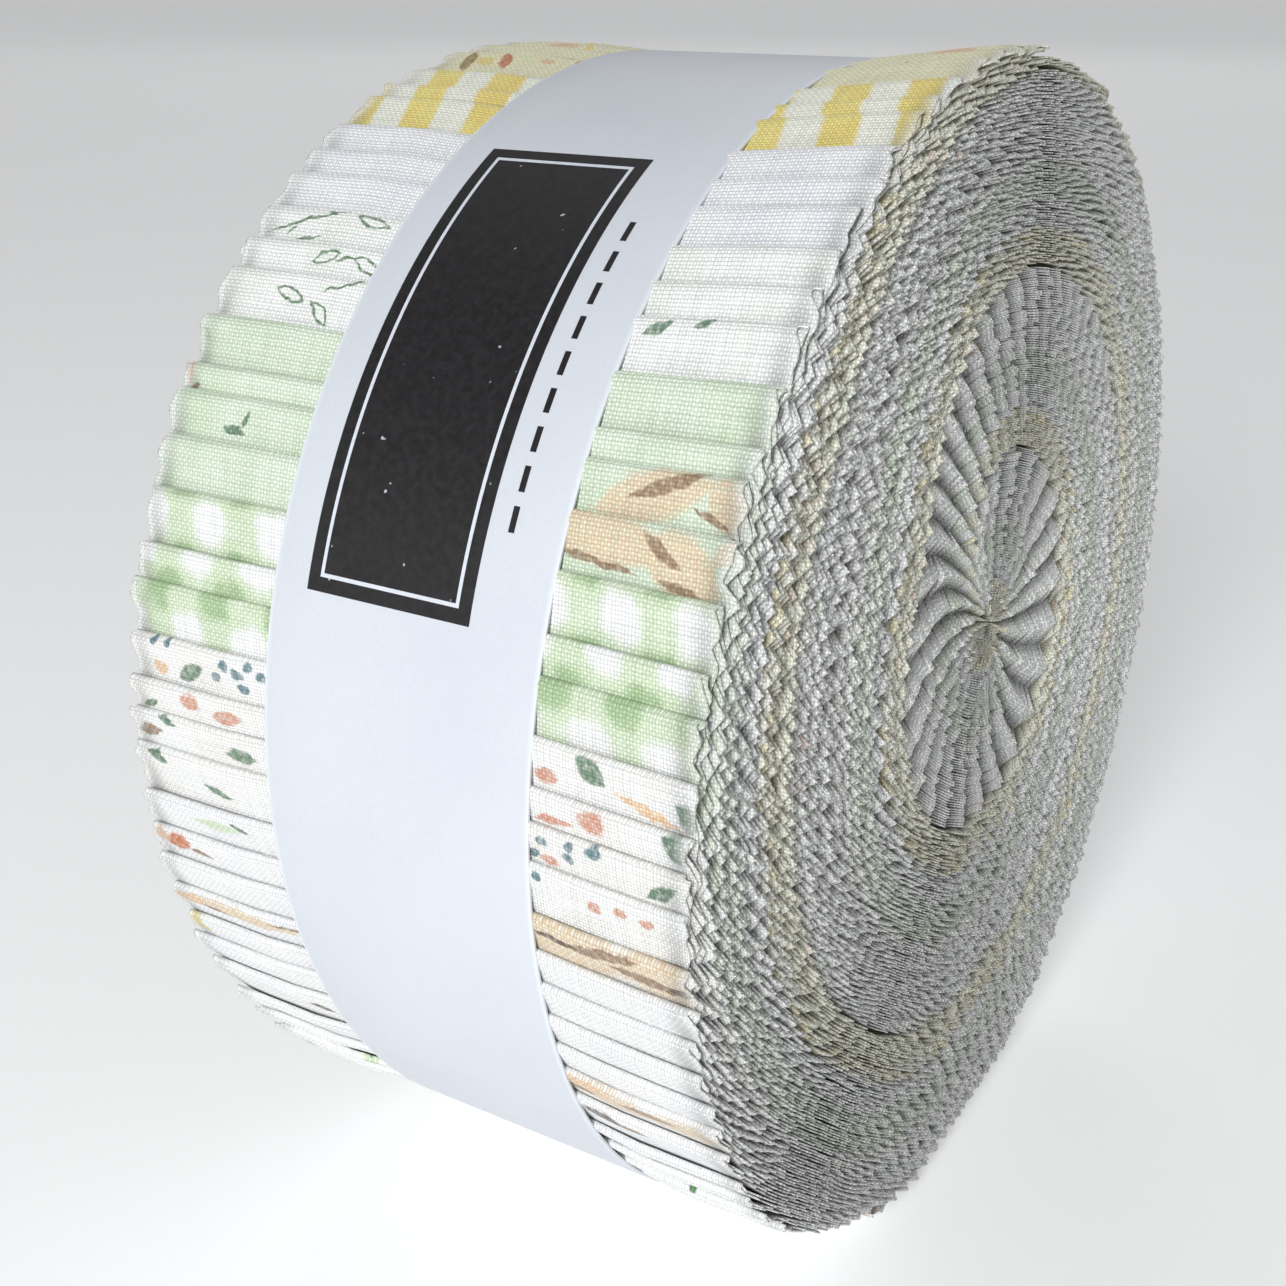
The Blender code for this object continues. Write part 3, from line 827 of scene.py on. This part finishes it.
def coated_card():
    """Smooth white card with a faint cool cast, a fine pulp grain and slightly rubbed edges."""
    finish, t, shader = new_finish("coated_white_card")
    place = t.node("ShaderNodeTexCoord").outputs["Object"]
    pulp = t.noise(place, 2600.0, 4.0)
    cloud = t.noise(place, 55.0, 3.0)
    flat = t.node("ShaderNodeUVMap", uv_map="card").outputs[0]
    across = t.split(flat)[1]
    edge = t.ramp(t.minus(BAND_HALF, t.math("ABSOLUTE", across)), 0.0006, 0.0)
    share = t.plus(t.times(cloud, 0.6), t.times(pulp, 0.4))
    colour = mixed(t, t.ramp(share, 0.35, 0.65), hand_mixed(203, 207, 214), hand_mixed(208, 212, 218))
    colour = mixed(t, t.times(edge, 0.6), colour, hand_mixed(228, 231, 236))
    t.put(shader.inputs["Base Color"], colour)
    t.put(shader.inputs["Roughness"], t.plus(0.42, t.times(pulp, 0.12)))
    grain_on(t, shader, pulp, 0.25, 0.00003)
    shader.inputs["Specular IOR Level"].default_value = 0.4
    return finish


band_card.data.materials.append(coated_card())
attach(band_card, "band")
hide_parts("paper_band")

# ---------------------------------------------------------------------------------------------
# The print on the band
# A plain dark panel with a thin pale frame line, and a row of printed stitches beside it. No words.
# It is ink on the card, made here as films thinner than a hair that follow the card's curve.
# ---------------------------------------------------------------------------------------------

INK = 0.00002  # thickness of one film
ON_CARD, OVER_PANEL = 0.000004, 0.00003  # how far above the card's face a film lies
PANEL_FROM, PANEL_TO = 18.5, 61.0  # directions of the panel's lower and upper ends
PANEL_LEFT, PANEL_RIGHT = -0.0103, 0.0073
PANEL_LENGTH = radians(PANEL_TO - PANEL_FROM) * ROLL_RADIUS
CUT_STEP = 0.001  # films are cut this often so that they can follow the curve


def on_band(points, lift):
    """Takes flat points, x along the band and y across it, to the face of the band."""
    points = np.asarray(points, float)
    angle = np.radians(PANEL_FROM) + points[:, 0] / ROLL_RADIUS
    face = band_point(np.degrees(angle), CARD + lift + points[:, 2])
    # lengths are measured round the roll's own middle, the band's points round the winding point
    for _ in range(4):
        seen = np.arctan2(face[:, 2] - MIDDLE_Z, -face[:, 1])
        angle = angle + (np.radians(PANEL_FROM) + points[:, 0] / ROLL_RADIUS - seen)
        face = band_point(np.degrees(angle), CARD + lift + points[:, 2])
    face[:, 0] = points[:, 1]
    return face


def ink_piece(name, shape, lift, finish):
    """Cuts a flat closed film across its length, wraps it on the band and lets it move with the band."""
    lowest = min(v.co.x for v in shape.verts)
    highest = max(v.co.x for v in shape.verts)
    for cut in np.arange(lowest + CUT_STEP, highest, CUT_STEP):
        bmesh.ops.bisect_plane(shape, geom=shape.verts[:] + shape.edges[:] + shape.faces[:],
                               plane_co=(cut, 0, 0), plane_no=(1, 0, 0))
    bmesh.ops.triangulate(shape, faces=shape.faces[:])
    mesh = bpy.data.meshes.new(name)
    shape.to_mesh(mesh)
    shape.free()
    wrapped = on_band([v.co[:] for v in mesh.vertices], lift)
    mesh.vertices.foreach_set("co", wrapped.ravel())
    mesh.materials.append(finish)
    mesh.update()
    fixed = bmesh.new()
    fixed.from_mesh(mesh)
    bmesh.ops.remove_doubles(fixed, verts=fixed.verts, dist=1e-7)
    bmesh.ops.recalc_face_normals(fixed, faces=fixed.faces)
    fixed.to_mesh(mesh)
    fixed.free()
    piece = bpy.data.objects.new(name, mesh)
    bpy.context.scene.collection.objects.link(piece)
    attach(piece, "band")
    return piece


def film(shape, low, high):
    """A flat rectangle of ink from its low corner to its high one."""
    size = (high[0] - low[0], high[1] - low[1], INK)
    middle = Vector(((low[0] + high[0]) / 2, (low[1] + high[1]) / 2, INK / 2))
    bmesh.ops.create_cube(shape, size=1.0, matrix=Matrix.Translation(middle) @ Matrix.Diagonal((*size, 1)))


def ink_finish(name, colour, other, roughness):
    finish, t, shader = new_finish(name)
    place = t.node("ShaderNodeTexCoord").outputs["Object"]
    grain = t.noise(place, 1400.0, 4.0)
    specks = t.noise(place, 900.0, 1.0)
    colour = mixed(t, t.ramp(grain, 0.3, 0.75), colour, other)
    colour = mixed(t, t.times(t.ramp(specks, 0.76, 0.79), 0.8), colour, hand_mixed(190, 194, 200))
    t.put(shader.inputs["Base Color"], colour)
    t.put(shader.inputs["Roughness"], t.plus(roughness, t.times(grain, 0.15)))
    grain_on(t, shader, grain, 0.2, 0.00002)
    return finish


black_ink = ink_finish("black_ink", hand_mixed(22, 19, 21), hand_mixed(34, 31, 33), 0.34)
pale_ink = ink_finish("pale_ink", hand_mixed(206, 211, 220), hand_mixed(214, 218, 226), 0.42)

panel = bmesh.new()
film(panel, (0.0, PANEL_LEFT), (PANEL_LENGTH, PANEL_RIGHT))
ink_piece("printed_panel", panel, ON_CARD, black_ink)

FRAME_IN, FRAME_LINE = 0.0013, 0.00035  # the frame line's distance from the panel's edge, and its width
low_x, high_x = FRAME_IN, PANEL_LENGTH - FRAME_IN
low_y, high_y = PANEL_LEFT + FRAME_IN, PANEL_RIGHT - FRAME_IN
for name, low, high in [
    ("frame_line_lower", (low_x, low_y), (low_x + FRAME_LINE, high_y)),
    ("frame_line_upper", (high_x - FRAME_LINE, low_y), (high_x, high_y)),
    ("frame_line_left", (low_x + FRAME_LINE, low_y), (high_x - FRAME_LINE, low_y + FRAME_LINE)),
    ("frame_line_right", (low_x + FRAME_LINE, high_y - FRAME_LINE), (high_x - FRAME_LINE, high_y)),
]:
    line = bmesh.new()
    film(line, low, high)
    ink_piece(name, line, OVER_PANEL, pale_ink)

STITCHES, STITCH, STITCH_GAP = 9, 0.0022, 0.0012
STITCH_HALF, STITCHES_AT = 0.0003, 0.0096
stitches = bmesh.new()
start = (PANEL_LENGTH - STITCHES * STITCH - (STITCHES - 1) * STITCH_GAP) / 2
for count in range(STITCHES):
    x = start + count * (STITCH + STITCH_GAP)
    film(stitches, (x, STITCHES_AT - STITCH_HALF), (x + STITCH, STITCHES_AT + STITCH_HALF))
ink_piece("printed_stitches", stitches, ON_CARD, black_ink)

# ---------------------------------------------------------------------------------------------
# Floor, light and camera
# The roll stands on a pale floor and is seen from the front right, a little from above. A soft key
# light stands in front, a weak one hangs overhead and a large one fills in from far behind.
# ---------------------------------------------------------------------------------------------

FLOOR_FLAT, FLOOR_CURVE = 5.0, 4.0  # a flat disc whose rim curves up, so that no horizon shows
FLOOR_SIDES = 96


def make_floor():
    """A pale floor: a disc turned up all round at its rim."""
    rise = np.radians(np.arange(0, 91, 6))
    reach = np.append(0.6, FLOOR_FLAT + FLOOR_CURVE * np.sin(rise))
    height = np.append(0.0, FLOOR_CURVE * (1 - np.cos(rise)))
    points, faces = [(0, 0, 0)], []
    for r, z in zip(reach, height):
        for side in range(FLOOR_SIDES):
            points.append((r * cos(tau * side / FLOOR_SIDES), r * sin(tau * side / FLOOR_SIDES), z))
    for side in range(FLOOR_SIDES):
        other = (side + 1) % FLOOR_SIDES
        faces.append((0, 1 + side, 1 + other))
        for ring in range(len(reach) - 1):
            a, b = 1 + ring * FLOOR_SIDES, 1 + (ring + 1) * FLOOR_SIDES
            faces.append((a + side, b + side, b + other, a + other))
    mesh = bpy.data.meshes.new("studio_floor")
    mesh.from_pydata(points, [], faces)
    mesh.update()
    mesh.shade_smooth()
    piece = bpy.data.objects.new("studio_floor", mesh)
    bpy.context.scene.collection.objects.link(piece)
    finish, _, shader = new_finish("pale_floor")
    shader.inputs["Base Color"].default_value = (0.86, 0.86, 0.86, 1)
    shader.inputs["Roughness"].default_value = 0.9
    shader.inputs["Emission Color"].default_value = (1, 1, 1, 1)
    shader.inputs["Emission Strength"].default_value = 0.28
    mesh.materials.append(finish)


make_floor()

VIEW_TURN, VIEW_RISE, VIEW_ROLL = radians(29.22), radians(21.12), radians(0.63)
VIEW_DISTANCE = 0.1916
back = Vector((sin(VIEW_TURN) * cos(VIEW_RISE), -cos(VIEW_TURN) * cos(VIEW_RISE), sin(VIEW_RISE)))
level = Vector((0, 0, 1)).cross(back).normalized()
upright = back.cross(level)
rolled_level = cos(VIEW_ROLL) * level + sin(VIEW_ROLL) * upright
rolled_up = -sin(VIEW_ROLL) * level + cos(VIEW_ROLL) * upright
camera = bpy.data.objects.new("camera", bpy.data.cameras.new("camera"))
camera.matrix_world = Matrix.Translation(Vector((0, 0, MIDDLE_Z)) + back * VIEW_DISTANCE) @ Matrix(
    (rolled_level, rolled_up, back)).transposed().to_4x4()
camera.data.lens = 45.7
camera.data.shift_x, camera.data.shift_y = -0.0779, -0.0235  # frames the roll
camera.data.clip_start = 0.01
bpy.context.scene.collection.objects.link(camera)
bpy.context.scene.camera = camera


def soft_light(name, place, size, power, colour=(1, 1, 1)):
    lamp = bpy.data.lights.new(name, "AREA")
    lamp.shape = "DISK"
    lamp.size, lamp.energy, lamp.color = size, power, colour
    piece = bpy.data.objects.new(name, lamp)
    piece.location = place
    piece.rotation_euler = (Vector((0, 0, MIDDLE_Z)) - Vector(place)).to_track_quat("-Z", "Y").to_euler()
    bpy.context.scene.collection.objects.link(piece)


soft_light("key", (0.13, -0.64, 0.36), 0.22, 3.5, (0.97, 0.985, 1.0))
soft_light("overhead", (-0.3, 0.1, 1.1), 0.9, 0.6)
soft_light("fill from behind", (-1.3, 2.6, 2.4), 1.4, 11.0)
world = bpy.data.worlds.new("studio")
bpy.context.scene.world = world
world.use_nodes = True
sky = world.node_tree.nodes["Background"].inputs
sky["Color"].default_value = (0.93, 0.96, 1.0, 1)
sky["Strength"].default_value = 0.19
bpy.context.scene.view_settings.view_transform = "Standard"
